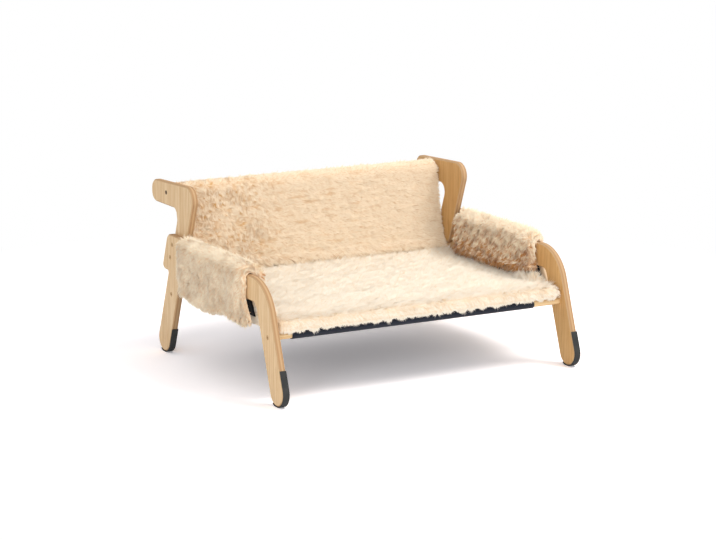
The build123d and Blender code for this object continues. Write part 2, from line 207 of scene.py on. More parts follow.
def mesh_object(name, points, groups, material):
    """Object from an array of points; groups is a list of (faces, corners) integer arrays."""
    mesh = bpy.data.meshes.new(name)
    loops = np.concatenate([g.reshape(-1) for g in groups])
    sizes = np.concatenate([np.full(len(g), g.shape[1]) for g in groups])
    starts = np.concatenate([[0], np.cumsum(sizes)[:-1]])
    mesh.vertices.add(len(points))
    mesh.vertices.foreach_set("co", points.astype(np.float32).reshape(-1))
    mesh.loops.add(len(loops))
    mesh.loops.foreach_set("vertex_index", loops.astype(np.int32))
    mesh.polygons.add(len(sizes))
    mesh.polygons.foreach_set("loop_start", starts.astype(np.int32))
    mesh.update(calc_edges=True)
    mesh.polygons.foreach_set("use_smooth", np.ones(len(sizes), bool))
    mesh.validate()
    mesh.materials.append(material)
    return add_object(name, mesh)


def add_object(name, data):
    thing = bpy.data.objects.new(name, data)
    bpy.context.scene.collection.objects.link(thing)
    return thing


def settle(thing):
    """Fixes a piece to the bed's one body."""
    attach(thing, "root")


def read(mesh, key):
    """Array of every vertex's co or normal."""
    out = np.zeros(len(mesh.vertices) * 3, np.float32)
    mesh.vertices.foreach_get(key, out)
    return out.reshape(-1, 3).astype(float)


def set_coordinates(mesh, points):
    mesh.vertices.foreach_set("co", points.astype(np.float32).reshape(-1))
    mesh.update()


def set_attribute(mesh, title, values):
    """Stores a number, or three of them, for every vertex."""
    kind, key = ("FLOAT_VECTOR", "vector") if values.ndim == 2 else ("FLOAT", "value")
    attribute = mesh.attributes.new(title, kind, "POINT")
    attribute.data.foreach_set(key, values.astype(np.float32).reshape(-1))


# Materials
def finish(dress):
    """Makes dress(tree, shader, ...) a function that builds a node material: (name, ...)."""
    def build(name, *settings):
        material = bpy.data.materials.new(name)
        material.use_nodes = True
        tree = material.node_tree
        shader = next(n for n in tree.nodes if n.type == "BSDF_PRINCIPLED")
        dress(tree, shader, *settings)
        return material
    return build


def set_inputs(made, **values):
    """Sets a node's inputs by their names, with _ for a space."""
    for key, value in values.items():
        made.inputs[key.replace("_", " ")].default_value = value


def node(tree, kind, **settings):
    """New shader node; each setting is one of its properties or the name of an input."""
    made = tree.nodes.new("ShaderNode" + kind)
    for key, value in settings.items():
        if key in made.bl_rna.properties:
            setattr(made, key, value)
        else:
            set_inputs(made, **{key: value})
    return made


def feed(tree, value, socket):
    """Links a socket's value to another, or sets it to a number or a colour."""
    if isinstance(value, bpy.types.NodeSocket):
        tree.links.new(value, socket)
    else:
        socket.default_value = value


def srgb(red, green, blue):
    """Linear colour from 0 to 255 screen values."""
    def line(v):
        v /= 255
        return v / 12.92 if v <= 0.04045 else ((v + 0.055) / 1.055) ** 2.4
    return (line(red), line(green), line(blue), 1.0)


def grey(value):
    return (value, value, value, 1)


def dimmed(colour, share):
    return tuple(share * c for c in colour[:3]) + (1,)


def ramp(tree, source, stops):
    """Colour ramp over a value: stops are (place, colour)."""
    made = node(tree, "ValToRGB")
    elements = made.color_ramp.elements
    while len(elements) < len(stops):
        elements.new(0.5)
    for element, (place, colour) in zip(elements, stops):
        element.position = place
        element.color = colour
    tree.links.new(source, made.inputs["Fac"])
    return made.outputs["Color"]


def place_of(tree, scale=(1, 1, 1), turn=(0, 0, 0)):
    """Object coordinates, turned and then scaled."""
    coordinate = node(tree, "TexCoord")
    mapping = node(tree, "Mapping", vector_type="POINT", Scale=scale, Rotation=turn)
    tree.links.new(coordinate.outputs["Object"], mapping.inputs["Vector"])
    return mapping.outputs["Vector"]


def noise(tree, scale, detail, roughness=0.55, distortion=0.0, turn=(0, 0, 0)):
    """Noise over the object; scale is its fineness along each axis, in waves to the metre."""
    if not isinstance(scale, tuple):
        scale = (scale, scale, scale)
    made = node(tree, "TexNoise", Scale=1.0, Detail=detail, Roughness=roughness,
                Distortion=distortion)
    tree.links.new(place_of(tree, scale, turn), made.inputs["Vector"])
    return made.outputs["Fac"]


def mix(tree, factor, first, second, blend="MIX"):
    """Colour mix; each input is a socket or a value."""
    made = node(tree, "Mix", data_type="RGBA", blend_type=blend)
    for place, value in ((0, factor), (6, first), (7, second)):
        feed(tree, value, made.inputs[place])
    return made.outputs[2]


def maths(tree, operation, first, second=0.0):
    made = node(tree, "Math", operation=operation)
    feed(tree, first, made.inputs[0])
    feed(tree, second, made.inputs[1])
    return made.outputs[0]


def split(tree, vector):
    """The X, Y and Z of a vector."""
    made = node(tree, "SeparateXYZ")
    tree.links.new(vector, made.inputs[0])
    return made.outputs


def bump(tree, shader, height, strength, distance):
    made = node(tree, "Bump", Strength=strength, Distance=distance)
    tree.links.new(height, made.inputs["Height"])
    tree.links.new(made.outputs["Normal"], shader.inputs["Normal"])


def coat(tree, shader, colour, **values):
    """Gives the shader its colour and its other inputs."""
    tree.links.new(colour, shader.inputs["Base Color"])
    set_inputs(shader, **values)


@finish
def plywood(tree, shader, lean, inner):
    """Light plywood: lengthwise grain on the faces, painted shade that makes the faces looking inwards
    darker and golden, and thin plies on the cut edges.

    lean is the grain's angle from upright, and inner the inner face's distance from the middle.
    """
    turn = (-lean, 0, 0)
    grain = noise(tree, (26, 240, 7), 6.0, 0.62, 0.5, turn)
    pores = noise(tree, (60, 1100, 26), 3.0, 0.6, turn=turn)
    cloud = noise(tree, (5, 9, 3), 2.0, turn=turn)
    fibres = noise(tree, (900, 160, 40), 3.0, turn=turn)
    normal = split(tree, node(tree, "NewGeometry").outputs["Normal"])
    place = split(tree, place_of(tree))

    figure = ramp(tree, grain, [
        (0.34, srgb(206, 168, 120)),
        (0.5, srgb(224, 191, 146)),
        (0.66, srgb(236, 209, 168)),
    ])
    face = mix(tree, maths(tree, "MULTIPLY", cloud, 0.4), figure, srgb(222, 184, 136))
    streak = ramp(tree, pores, [(0.32, grey(0.8)), (0.43, BLACK)])
    face = mix(tree, streak, face, srgb(190, 148, 98))
    # Painted shade: faces that look inwards are multiplied darker and golden, standing in for the shade and
    # warm bounce light between the frames.
    outward = maths(tree, "MULTIPLY", normal["X"], maths(tree, "SIGN", place["X"]))
    inward_shade = ramp(tree, maths(tree, "MULTIPLY", outward, -1.0), [(0.4, BLACK), (0.6, WHITE)])
    face = mix(tree, inward_shade, face, mix(tree, 1.0, face, srgb(240, 222, 190), "MULTIPLY"))

    depth = maths(tree, "SUBTRACT", maths(tree, "ABSOLUTE", place["X"]), inner)
    wave = maths(tree, "COSINE", maths(tree, "MULTIPLY", depth, math.pi * 2 / PLY_PAIR))
    layers = ramp(tree, maths(tree, "MULTIPLY_ADD", wave, 0.5), [
        (0.35, srgb(176, 136, 96)),
        (0.65, srgb(200, 166, 126)),
    ])
    edge = mix(tree, maths(tree, "MULTIPLY", fibres, 0.6), layers, srgb(186, 148, 108))

    on_face = ramp(tree, maths(tree, "ABSOLUTE", normal["X"]), [(0.75, BLACK), (0.9, WHITE)])
    coat(tree, shader, mix(tree, on_face, edge, face), Specular_IOR_Level=0.35)
    rough = ramp(tree, grain, [(0.3, grey(0.55)), (0.7, grey(0.42))])
    tree.links.new(mix(tree, on_face, grey(0.85), rough), shader.inputs["Roughness"])
    bump(tree, shader, mix(tree, 0.5, grain, pores), 0.25, 0.3 * MM)


@finish
def dowel(tree, shader):
    """Round rail: straight grain along its length."""
    grain = noise(tree, (9, 420, 420), 4.0, 0.6)
    colour = ramp(tree, grain, [
        (0.3, srgb(218, 178, 124)),
        (0.55, srgb(240, 206, 156)),
        (0.75, srgb(246, 220, 176)),
    ])
    coat(tree, shader, colour, Roughness=0.5, Specular_IOR_Level=0.3)
    bump(tree, shader, grain, 0.2, 0.2 * MM)


@finish
def metal(tree, shader, colour, rough, second_tone=None):
    """Scratched metal; the last colour, where given, is a darker colour that it takes high up on the bed.
    """
    scratches = noise(tree, 900, 3.0)
    plain = mix(tree, scratches, colour, dimmed(colour, 0.6))
    if second_tone is not None:
        place = split(tree, place_of(tree))
        high = ramp(tree, place["Z"], [(HOOK_AT - 10 * MM, BLACK), (HOOK_AT, WHITE)])
        plain = mix(tree, high, plain, second_tone)
    coat(tree, shader, plain, Metallic=1.0, Roughness=rough)
    bump(tree, shader, scratches, 0.15, 0.1 * MM)


@finish
def rubber(tree, shader):
    """Charcoal rubber with a fine grain and a little dust."""
    grain = noise(tree, 1500, 2.0)
    dust = noise(tree, 45, 4.0)
    colour = ramp(tree, dust, [(0.35, srgb(40, 41, 41)), (0.75, srgb(60, 60, 58))])
    coat(tree, shader, colour, Roughness=0.72, Specular_IOR_Level=0.3)
    bump(tree, shader, grain, 0.3, 0.15 * MM)


@finish
def cloth(tree, shader, dark, light, pitch):
    """Plain weave, laid out in the sheet's own metres: warp along one edge and weft along the other."""
    cut = split(tree, node(tree, "Attribute", attribute_name="cut").outputs["Vector"])
    rate = math.pi * 2 / pitch
    warp = maths(tree, "SINE", maths(tree, "MULTIPLY", cut["X"], rate))
    weft = maths(tree, "SINE", maths(tree, "MULTIPLY", cut["Y"], rate))
    height = maths(tree, "MULTIPLY_ADD", maths(tree, "MULTIPLY", warp, weft), 0.5)
    slub = noise(tree, 300, 4.0)
    fade = noise(tree, 24, 4.0)
    threads = mix(tree, height, dark, light)
    second_tone = mix(tree, maths(tree, "MULTIPLY", slub, 0.5), threads, light)
    colour = mix(tree, maths(tree, "MULTIPLY", fade, 0.6), second_tone, dark)
    coat(tree, shader, colour, Roughness=0.9, Specular_IOR_Level=0.15, Sheen_Weight=0.15,
         Sheen_Roughness=0.5)
    bump(tree, shader, height, 0.5, 0.3 * MM)


@finish
def thread(tree, shader, colour):
    twist = noise(tree, 2500, 2.0)
    coat(tree, shader, mix(tree, twist, colour, dimmed(colour, 0.7)), Roughness=0.7)
    bump(tree, shader, twist, 0.4, 0.2 * MM)


@finish
def plush(tree, shader, root_shade, tip, tint_and_shade):
    """Pile: darker and warmer at the roots, which is painted shade deep in the pile, pale at the tips, and
    warmed by the tone that each strand carries, which holds painted light and shade in places on the arms
    and the back.
    """
    along = node(tree, "Attribute", attribute_name="along")
    tone = node(tree, "Attribute", attribute_name="tone")
    # Painted shade: the colour at the roots is darker and warmer, for the shade deep in the pile.
    height = ramp(tree, along.outputs["Fac"], [(0.0, root_shade), (0.5, tip)])
    coat(tree, shader, mix(tree, tone.outputs["Fac"], height, tint_and_shade), Roughness=0.9,
         Specular_IOR_Level=0.1, Sheen_Weight=0.5, Sheen_Roughness=0.5)


canvas_cloth = cloth("sling_canvas", srgb(24, 26, 34), srgb(52, 56, 68), 1.6 * MM)
canvas_thread = thread("canvas_thread", srgb(30, 32, 40))
lining_cloth = cloth("lining_cloth", srgb(14, 13, 15), srgb(34, 32, 36), 1.2 * MM)
# Each pile's colours: painted shade at the roots, the tips, and the colour that its tone mixes towards.
seat_pile = plush("seat_plush", srgb(246, 222, 188), srgb(255, 245, 228), srgb(240, 210, 168))
back_pile = plush("back_plush", srgb(234, 202, 158), srgb(253, 235, 208), srgb(222, 174, 108))
arm_pile = plush("arm_plush", srgb(250, 212, 165), srgb(255, 240, 213), srgb(206, 144, 80))

# The solids that show: the first of these words that is in a node's name gives its finish
finishes = {
    "side_frame": plywood("plywood_frame", 0.0, inner_face),
    "back_post": plywood("plywood_post", POST_LEAN, inner_face - panel),
    "bolts": metal("bolt_metal", srgb(206, 172, 126), 0.5, srgb(92, 76, 60)),
    "inserts": metal("insert_brass", srgb(196, 160, 92), 0.35),
    "foot_strip": rubber("foot_rubber"),
    "rail": dowel("dowel_wood"),
}
for name, solid in nodes.items():
    material = next((finishes[word] for word in finishes if word in name), None)
    if material is not None:
        solid.data.materials.clear()
        solid.data.materials.append(material)


# Cloth sheets
def across_x(point, x):
    """The bed's cross-section: the path is (y, z) and the sheet runs along x."""
    return (x, point[0], point[1])


def ribbon(name, path, across, thickness, material, wrinkle=0.0, seed=1, turn=across_x, step=CLOTH_STEP):
    """Closed sheet along a path of (a, b) points, from across[0] to across[1] on the third axis.

    turn places a path point and a distance across it in the bed's frame.
    """
    path = np.array(path, float)
    runs = np.linalg.norm(np.diff(path, axis=0), axis=1)
    place = np.concatenate([[0], np.cumsum(runs)])
    slope = unit(np.gradient(path, place, axis=0))
    side = np.stack([-slope[:, 1], slope[:, 0]], 1)
    rows = len(path)
    columns = max(2, int(round((across[1] - across[0]) / step)) + 1)
    spread = np.linspace(across[0], across[1], columns)
    cut = np.array([[x, s, 0.0] for s in place for x in spread])
    wave = np.zeros((rows, columns))
    if wrinkle:
        ends = np.sin(np.pi * place / place[-1])[:, None]
        wave = field(cut * (1, 2.2, 1), 0.07, seed).reshape(rows, columns) * wrinkle * ends
    layers = []
    for half in (thickness / 2, -thickness / 2):
        points = path[:, None, :] + side[:, None, :] * (wave + half)[:, :, None]
        layers += [turn(points[i, j], spread[j]) for i in range(rows) for j in range(columns)]
    index = np.arange(rows * columns).reshape(rows, columns)
    upper = np.stack([index[:-1, :-1], index[:-1, 1:], index[1:, 1:], index[1:, :-1]], -1).reshape(-1, 4)
    lower = upper[:, ::-1] + rows * columns
    rim = np.concatenate([index[0, :], index[1:, -1], index[-1, -2::-1], index[-2:0:-1, 0]])
    after = np.roll(rim, -1)
    edge = np.stack([after, rim, rim + rows * columns, after + rows * columns], -1)
    thing = mesh_object(name, np.array(layers), [upper, lower, edge], material)
    set_attribute(thing.data, "cut", np.concatenate([cut, cut]))
    return thing, place[-1]


def arc(centre, radius, start, end, step):
    """Points (y, z) on an arc, by its start and end angles in degrees."""
    count = max(6, int(abs(math.radians(end - start)) * radius / step))
    angles = np.radians(np.linspace(start, end, count + 1))
    return [(centre.y + radius * math.cos(a), centre.z + radius * math.sin(a)) for a in angles]


def seat_line():
    """The seat's sagging line (y, z) from the front rail to the rear one."""
    points = []
    for share in np.linspace(*SEAT_SHARES, 80):
        y = front_rail.y + share * (rear_rail.y - front_rail.y)
        z = front_rail.z + sleeve_radius - 4 * SEAT_SAG * share * (1 - share)
        points.append((y, z))
    return points


def back_sheet_line():
    """The back's sagging line (y, z) from the rear rail to the top one."""
    points = []
    for share in np.linspace(*BACK_SHARES, 50):
        dip = 4 * BACK_SAG * share * (1 - share)
        spot = rear_rail + up_back * (share * back_length) + ahead_back * (sleeve_radius - dip)
        points.append((spot.y, spot.z))
    return points


def stitches(name, spot, start, end):
    """A sewn line along x at (y, z): short capsules of thread at a steady pitch."""
    count = int((end - start) / STITCH_PITCH)
    angles = np.linspace(0, 2 * math.pi, STITCH_SIDES, endpoint=False)
    shares, widths = np.array(STITCH_PROFILE).T
    centres = start + (np.arange(count) + 0.5) * STITCH_PITCH
    points = np.zeros((count, len(shares), STITCH_SIDES, 3))
    points[..., 0] = centres[:, None, None] + (shares * STITCH)[:, None]
    points[..., 1] = spot[0] + np.cos(angles) * THREAD / 2 * widths[:, None]
    points[..., 2] = spot[1] + np.sin(angles) * THREAD / 2 * widths[:, None]
    index = np.arange(len(shares) * STITCH_SIDES).reshape(len(shares), STITCH_SIDES)
    beside = np.roll(index, -1, axis=1)
    sides = np.stack([index[:-1], beside[:-1], beside[1:], index[1:]], -1).reshape(-1, 4)
    caps = np.stack([index[0, ::-1], index[-1]])
    base = (np.arange(count) * index.size)[:, None, None]
    groups = [(base + faces).reshape(-1, faces.shape[1]) for faces in (sides, caps)]
    return mesh_object(name, points.reshape(-1, 3), groups, canvas_thread)


def finish_sheet(thing, extra=(), replaced=()):
    for piece in (thing, *extra):
        settle(piece)
    if replaced:
        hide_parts(*replaced)


def make_sling():
    """Seat and back panels of canvas, and the sleeve that holds each rail."""
    low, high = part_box("canvas_sling")
    centre = (low.x + high.x) / 2
    wide = high.x - low.x
    sleeve_half = wide / 2 - SLEEVE_STEP
    sleeve_span = (centre - sleeve_half, centre + sleeve_half)
    panels = [
        ("canvas_seat", seat_line(), 5, ["front_seat_rail", "rear_seat_rail"], ["canvas_sling"]),
        ("canvas_back", back_sheet_line(), 6, ["rear_seat_rail", "top_back_rail"], []),
    ]
    for name, path, seed, rests, replaced in panels:
        sheet, length = ribbon(name, path, (low.x, high.x), CANVAS, canvas_cloth, RIPPLE, seed)
        finish_sheet(sheet, replaced=replaced)
    back_angle = math.degrees(math.atan2(ahead_back.z, ahead_back.y))
    sleeves = [
        ("canvas_front_sleeve", front_rail, 90, SLEEVE_TURN, "front_seat_rail"),
        ("canvas_rear_sleeve", rear_rail, 90, -SLEEVE_TURN, "rear_seat_rail"),
        ("canvas_top_sleeve", top_rail, back_angle, -SLEEVE_TURN, "top_back_rail"),
    ]
    for name, rail, start, turn, holds in sleeves:
        end = start + turn
        path = arc(rail, sleeve_radius, start, end, 1.2 * MM)
        sleeve, length = ribbon(name, path, sleeve_span, CANVAS, canvas_cloth)
        seam = arc(rail, sleeve_radius + CANVAS / 2, end, end - 4, 1 * MM)[0]
        line = stitches(name + "_stitches", seam, sleeve_span[0] + STITCH_INSET,
                        sleeve_span[1] - STITCH_INSET)
        finish_sheet(sleeve, [line])


def make_lining(side):
    """Dark lining: one sheet over the arm, long outside and short inside, its ends cut like the cover's."""
    cover_low, cover_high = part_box("arm_cover_" + side)
    source = "arm_lining_" + side
    low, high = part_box(source)
    sign = -1 if side == "left" else 1
    reach = panel / 2 + SLEEVE_GAP + LINING / 2
    top = high.z - LINING / 2
    flat = reach - LINING_ROUND
    shoulder = top - LINING_ROUND
    turns = np.radians([15, 30, 45, 60, 75])
    hem = low.z + INNER_HEM_GAP if side == "left" else arm_base - RAISED_HEM_DROP
    path = [(reach, z) for z in np.linspace(low.z + OUTER_HEM_GAP, shoulder, 30)]
    path += [(flat + LINING_ROUND * math.cos(a), shoulder + LINING_ROUND * math.sin(a)) for a in turns]
    path += [(x, top) for x in np.linspace(flat, -flat, 8)]
    path += [(-flat - LINING_ROUND * math.sin(a), shoulder + LINING_ROUND * math.cos(a)) for a in turns]
    path += [(-reach, z) for z in np.linspace(shoulder, hem, 26)]

    def turn(point, share):
        drop = min(1, max(0, (arm_base - point[1]) / (arm_base - low.z)))
        front = cover_low.y + NOSE_LEAN * (1 - drop) + LINING_INSET
        rear = cover_high.y - REAR_LEAN * drop - LINING_INSET
        return (sign * (arm_x + point[0]), front + share * (rear - front), point[1])

    sheet, length = ribbon(source + "_cloth", path, (0, 1), LINING, lining_cloth, turn=turn,
                           step=LINING_STEP)
    finish_sheet(sheet,
                 replaced=[source])


# Plush skins
def remeshed(name, source, voxel):
    """Even closed mesh over a node's solid."""
    thing = add_object(name, nodes[source].data.copy())
    thing.data.materials.clear()
    remesh = thing.modifiers.new("remesh", "REMESH")
    remesh.mode = "VOXEL"
    remesh.voxel_size = voxel
    bpy.context.view_layer.update()
    depsgraph = bpy.context.evaluated_depsgraph_get()
    made = bpy.data.meshes.new_from_object(thing.evaluated_get(depsgraph))
    thing.modifiers.clear()
    thing.data = made
    return thing


def neighbours_mean(mesh, values):
    """Mean over each vertex's neighbours, for smoothing."""
    edges = np.zeros(len(mesh.edges) * 2, np.int32)
    mesh.edges.foreach_get("vertices", edges)
    edges = edges.reshape(-1, 2)
    total = np.zeros_like(values)
    count = np.zeros(len(values))
    for one, other in ((0, 1), (1, 0)):
        np.add.at(total, edges[:, one], values[edges[:, other]])
        np.add.at(count, edges[:, one], 1)
    return total / np.maximum(count, 1)[:, None]


def make_skin(name, source, voxel, inset, pile_side, material, tuft, tuft_size, seed, shape, rounds=12):
    """Backing skin of a plush piece: the solid remeshed, drawn in on its pile side and dimpled by tufts."""
    thing = remeshed(name, source, voxel)
    mesh = thing.data
    points = read(mesh, "co")
    weight = pile_side(points, read(mesh, "normal")).astype(float)
    for _ in range(2):
        weight = neighbours_mean(mesh, weight[:, None])[:, 0]
    points -= read(mesh, "normal") * (inset * weight)[:, None]
    for _ in range(rounds):
        points += (neighbours_mean(mesh, points) - points) * 0.6 * weight[:, None]
    set_coordinates(mesh, points)
    normals = read(mesh, "normal")
    push = tuft * (field(points, tuft_size, seed) * 0.7 + field(points, tuft_size * 3, seed + 1) * 0.6)
    points += normals * ((push + shape(points, normals)) * weight)[:, None]
    set_coordinates(mesh, points)
    mesh.polygons.foreach_set("use_smooth", np.ones(len(mesh.polygons), bool))
    for title, value in (("along", 0.3), ("tone", 0.1)):
        set_attribute(mesh, title, np.full(len(points), value))
    mesh.materials.append(material)
    return thing, weight


def finish_plush(thing, replaced):
    settle(thing)
    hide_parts(replaced)


# Pile
def sample(mesh, weight, count, seed):
    """Random places on a mesh's weighted area: (points, normals)."""
    mesh.calc_loop_triangles()
    corners = np.zeros(len(mesh.loop_triangles) * 3, np.int32)
    mesh.loop_triangles.foreach_get("vertices", corners)
    corners = corners.reshape(-1, 3)
    points = read(mesh, "co")
    normals = read(mesh, "normal")
    a, b, c = (points[corners[:, k]] for k in range(3))
    area = np.linalg.norm(np.cross(b - a, c - a), axis=1) / 2 * weight[corners].mean(1) ** 2
    total = np.cumsum(area)
    r = rng(seed)
    picks = (np.arange(count) + r.uniform(0, 1, count)) / count * total[-1]
    chosen = np.minimum(np.searchsorted(total, picks), len(corners) - 1)
    u, v = r.uniform(0, 1, count), r.uniform(0, 1, count)
    flip = u + v > 1
    u[flip], v[flip] = 1 - u[flip], 1 - v[flip]
    shares = np.stack([1 - u - v, u, v], 1)[:, :, None]
    triangle = corners[chosen]
    return (points[triangle] * shares).sum(1), unit((normals[triangle] * shares).sum(1))


def nearest(spots, others):
    """For each spot, the index of the nearest of the others."""
    tree = KDTree(len(others))
    for i, other in enumerate(others):
        tree.insert(other, i)
    tree.balance()
    return np.array([tree.find(spot)[1] for spot in spots])


def value(item, points, normals):
    """A setting at each root; item is a number or a function of the roots."""
    return item(points, normals) if callable(item) else np.full(len(points), float(item))


def by(share, plain, more):
    """A setting that is plain where a share of the points is 0, and has more added where it is 1."""
    return lambda points, normals: plain + more * share(points)


def bend(ends, t):
    """Place along a curve of length 1 that leaves along ends[0] and arrives along ends[1]."""
    return ends[0] * (t - t * t / 2) + ends[1] * (t * t / 2)


def strand_lines(r, skin, weight, count, seed, length, flow, clump, curl, tuft_share=0.09,
                 rise=(0.8, 0.18), droop=0.2, swing=0.5, lift=0.0):
    """Middle lines of strands that follow flow and draw together into tufts.

    rise gives how much a strand stands off the skin at its root and its tip, and lift adds to the tip's.
    length, clump, curl, swing and lift are numbers or functions of the roots. Gives the roots, the skin's
    normals there, the number of tufts, each strand's tuft, and the lines (place along, strand, 3).
    """
    roots, facing = sample(skin.data, weight, count, seed)
    tufts = max(8, int(count * tuft_share))
    tuft_roots, tuft_facing = sample(skin.data, weight, tufts, seed + 1)
    owner = nearest(roots, tuft_roots)

    def ends(spots, normals):
        way = flow(spots, normals)
        way = unit(way - normals * (way * normals).sum(1)[:, None])
        side = np.cross(normals, way)
        sway = field(spots, SWAY, seed + 2) * value(swing, spots, normals)
        way = way * np.cos(sway)[:, None] + side * np.sin(sway)[:, None]
        start = unit(normals * rise[0] + way * (1 - rise[0]) * 1.2)
        up = normals * (rise[1] + value(lift, spots, normals))[:, None]
        return start, unit(up + way + np.array([0, 0, -droop])), unit(np.cross(normals, way))

    size = value(length, roots, facing) * r.uniform(0.7, 1.15, count)
    start, end, _ = ends(roots, facing)
    tuft_size = (value(length, tuft_roots, tuft_facing) * r.uniform(0.9, 1.25, tufts))[owner]
    tuft = [part[owner] for part in ends(tuft_roots, tuft_facing)]
    swirl = value(curl, roots, facing)
    phase = r.uniform(0, 2 * math.pi, tufts)[owner]
    turns = r.uniform(0.4, 1.0, tufts)[owner]
    hold = value(clump, roots, facing) * r.uniform(0.5, 1.0, count)
    stray = r.uniform(0, 1, count) < STRAYS
    hold = np.where(stray, 0, hold)
    size = np.where(stray, 1.3 * size, size)
    own = (start, unit(end + facing * (0.5 * stray)[:, None]))
    gap = roots - tuft_roots[owner]
    lines = []
    for t in (*RINGS, 1.0):
        mine = roots + bend(own, t) * size[:, None]
        wave = np.sin(phase + turns * 2 * math.pi * t) * swirl * t
        theirs = tuft_roots[owner] + bend(tuft, t) * tuft_size[:, None]
        theirs = theirs + tuft[2] * wave[:, None] + gap * (1 - 0.8 * t)
        share = (hold * min(1, 2 * t))[:, None]
        lines.append(mine * (1 - share) + theirs * share)
    return roots, facing, tufts, owner, np.stack(lines)


def strand_points(lines, facing, radius):
    """Points, normals, places along, and the normals under each ring, of every strand."""
    count = lines.shape[1]
    points = np.zeros((count, ROWS, 3))
    normals = np.zeros((count, ROWS, 3))
    under = np.zeros((count, len(RINGS), 3))
    along = np.zeros((count, ROWS))
    for k, t in enumerate(RINGS):
        ahead = unit(lines[k + 1] - lines[max(0, k - 1)])
        side = unit(np.cross(ahead, facing + 0.01))
        up = np.cross(side, ahead)
        wide = (radius * (1 - 0.3 * t))[:, None]
        for j, out in enumerate((-side, up * RIDGE, side)):
            points[:, 3 * k + j] = lines[k] + out * wide
            normals[:, 3 * k + j] = unit(facing * SKIN_SHARE + up + out * SIDE_SHARE)
            along[:, 3 * k + j] = t
        under[:, k] = -up
    points[:, -1] = lines[-1]
    normals[:, -1] = unit(facing * SKIN_SHARE + up)
    along[:, -1] = 1
    return points, normals, along, under


def atlas(roots, along):
    """Texture places of strands: each cell of the surface has its own tile, and tips are up."""
    cells, tile = np.unique(np.floor(roots / TILE_CELL), axis=0, return_inverse=True)
    tile = tile.reshape(-1)
    across = int(math.ceil(math.sqrt(len(cells))))
    share = (roots / TILE_CELL) % 1
    wide = 0.15 + 0.7 * share.mean(1)
    u = (tile % across + wide) / across
    v = (tile // across)[:, None] + 0.12 + 0.76 * along
    return np.stack([np.repeat(u[:, None], along.shape[1], 1), v / across], -1)


# Faces of one strand between its two rings, and at its tip and root: (ring, corners, whether it is below)
strand_quads = [(0, (j, (j + 1) % 3, 3 + (j + 1) % 3, 3 + j), j == 2) for j in range(3)]
strand_ends = [(1, (3 + j, 3 + (j + 1) % 3, 6), j == 2) for j in range(3)] + [(0, (2, 1, 0), True)]


def strand_mesh(name, roots, points, normals, along, under, shade, material):
    """One mesh of strands, with the shading, tones and texture places of its corners."""
    base = (np.arange(len(roots)) * ROWS)[:, None]
    groups = [np.concatenate([base + np.array(corners) for _, corners, _ in faces])
              for faces in (strand_quads, strand_ends)]
    light = []
    for ring, corners, below in strand_quads + strand_ends:
        if below:
            light.append(np.repeat(under[:, ring][:, None], len(corners), 1).reshape(-1, 3))
        else:
            light.append(normals[:, corners].reshape(-1, 3))
    part = mesh_object(name, points.reshape(-1, 3), groups, material)
    mesh = part.data
    set_attribute(mesh, "along", along.reshape(-1))
    set_attribute(mesh, "tone", np.repeat(shade, ROWS))
    corners = np.concatenate([faces.reshape(-1) for faces in groups])
    layer = mesh.uv_layers.new(name="OFBake")
    places = atlas(roots, along).reshape(-1, 2)[corners]
    layer.data.foreach_set("uv", places.astype(np.float32).reshape(-1))
    mesh.normals_split_custom_set(np.concatenate(light).tolist())
    return part


def grow(name, skin, weight, count, width, material, slot_name, seed, limit, tone=0.0, tuft_tone=0.06,
         pieces=1, split_by=0, **lie):
    """Pile of a plush piece: tapered strands, in one or more meshes that follow along an axis.

    limit moves the points of the lines out of what the pile rests against. tone and tuft_tone are numbers
    or functions of the roots, and lie is how the strands lie, for strand_lines.
    """
    r = rng(seed)
    roots, facing, tufts, owner, lines = strand_lines(r, skin, weight, count, seed, **lie)
    radius = width / 2 * r.uniform(0.7, 1.2, count)
    arrays = strand_points(limit(lines), facing, radius)
    uneven = r.normal(0, 1, tufts)[owner] * value(tuft_tone, roots, facing)
    shade = np.clip(value(tone, roots, facing) + uneven + r.normal(0, OWN_TONE, count), 0, 1)
    order = np.argsort(roots[:, split_by], kind="stable")
    for piece, chosen in enumerate(np.array_split(order, pieces)):
        title = name if pieces == 1 else f"{name}_{piece + 1}"
        part = strand_mesh(title, roots[chosen], *(array[chosen] for array in arrays), shade[chosen],
                           material)
        settle(part)


def kept_in(edge):
    """Keeps strands within edge of the middle, and out of the back's canvas."""
    def limit(lines):
        lines[..., 0] = np.clip(lines[..., 0], -edge, edge)
        off = lines - np.array(rear_rail)
        ahead = off @ np.array(ahead_back)
        along = off @ np.array(up_back)
        beside = (along > -SLEEVE_END) & (along < back_length)
        short = np.where(beside, np.maximum(0, canvas_face - ahead), 0)
        short = np.where(short > BEHIND, 0, short)
        return lines + short[..., None] * np.array(ahead_back)
    return limit


def seat_pile_side(points, normals):
    """All but the underside."""
    return normals[:, 2] > -0.55


def back_pile_side(points, normals):
    """The front of the pad, the back of its turned-over flap, and all above the top rail."""
    ahead = (points - np.array(rear_rail)) @ np.array(ahead_back)
    facing = normals @ np.array(ahead_back)
    over = (points - np.array(rear_rail)) @ np.array(up_back) > back_length
    return (ahead * facing > 0) | over


def arm_pile_side(points, normals):
    """Everything but the faces of the slot that the arm and its lining stand in."""
    inside = panel / 2 + SLEEVE_GAP + LINING + SLEEVE_GAP + 1.5 * MM
    off = np.abs(np.abs(points[:, 0]) - arm_x)
    return ~((off < inside) & (points[:, 2] < arm_top + 3 * MM) & (np.abs(normals[:, 1]) < 0.7))


